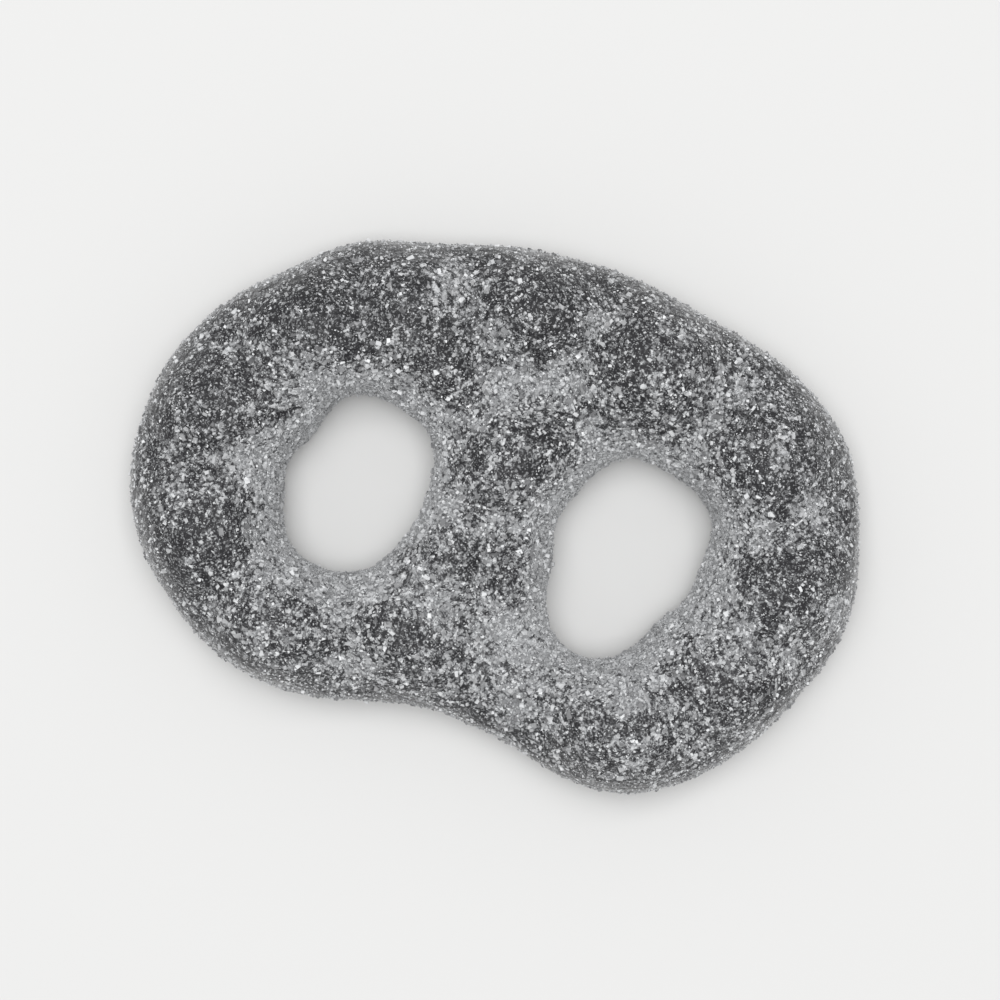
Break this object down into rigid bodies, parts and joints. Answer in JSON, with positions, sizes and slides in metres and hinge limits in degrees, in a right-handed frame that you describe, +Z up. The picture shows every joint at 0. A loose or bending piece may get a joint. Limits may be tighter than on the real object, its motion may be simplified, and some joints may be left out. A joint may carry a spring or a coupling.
{
  "type": "salty licorice pretzel",
  "caption": "Flat-backed licorice candy moulded as a small pretzel, with open loops, a rope of soft humps over the top and a coat of fine salt crystals.",
  "frame": {"origin": "middle of the box on the flat back, between the holes", "axes": "+X along the length, from the left loop to the right loop; +Y towards the bow; +Z up, from the flat back to the humps"},
  "size_m": [0.0418, 0.0288, 0.0085],
  "materials": {
    "licorice": "matt, charcoal, caked with pale salt dust in the grooves and round the holes",
    "salt": "rough, pale grey crystals"
  },
  "bodies": {
    "root": {"licorice_body": "licorice"}
  },
  "joints": []
}
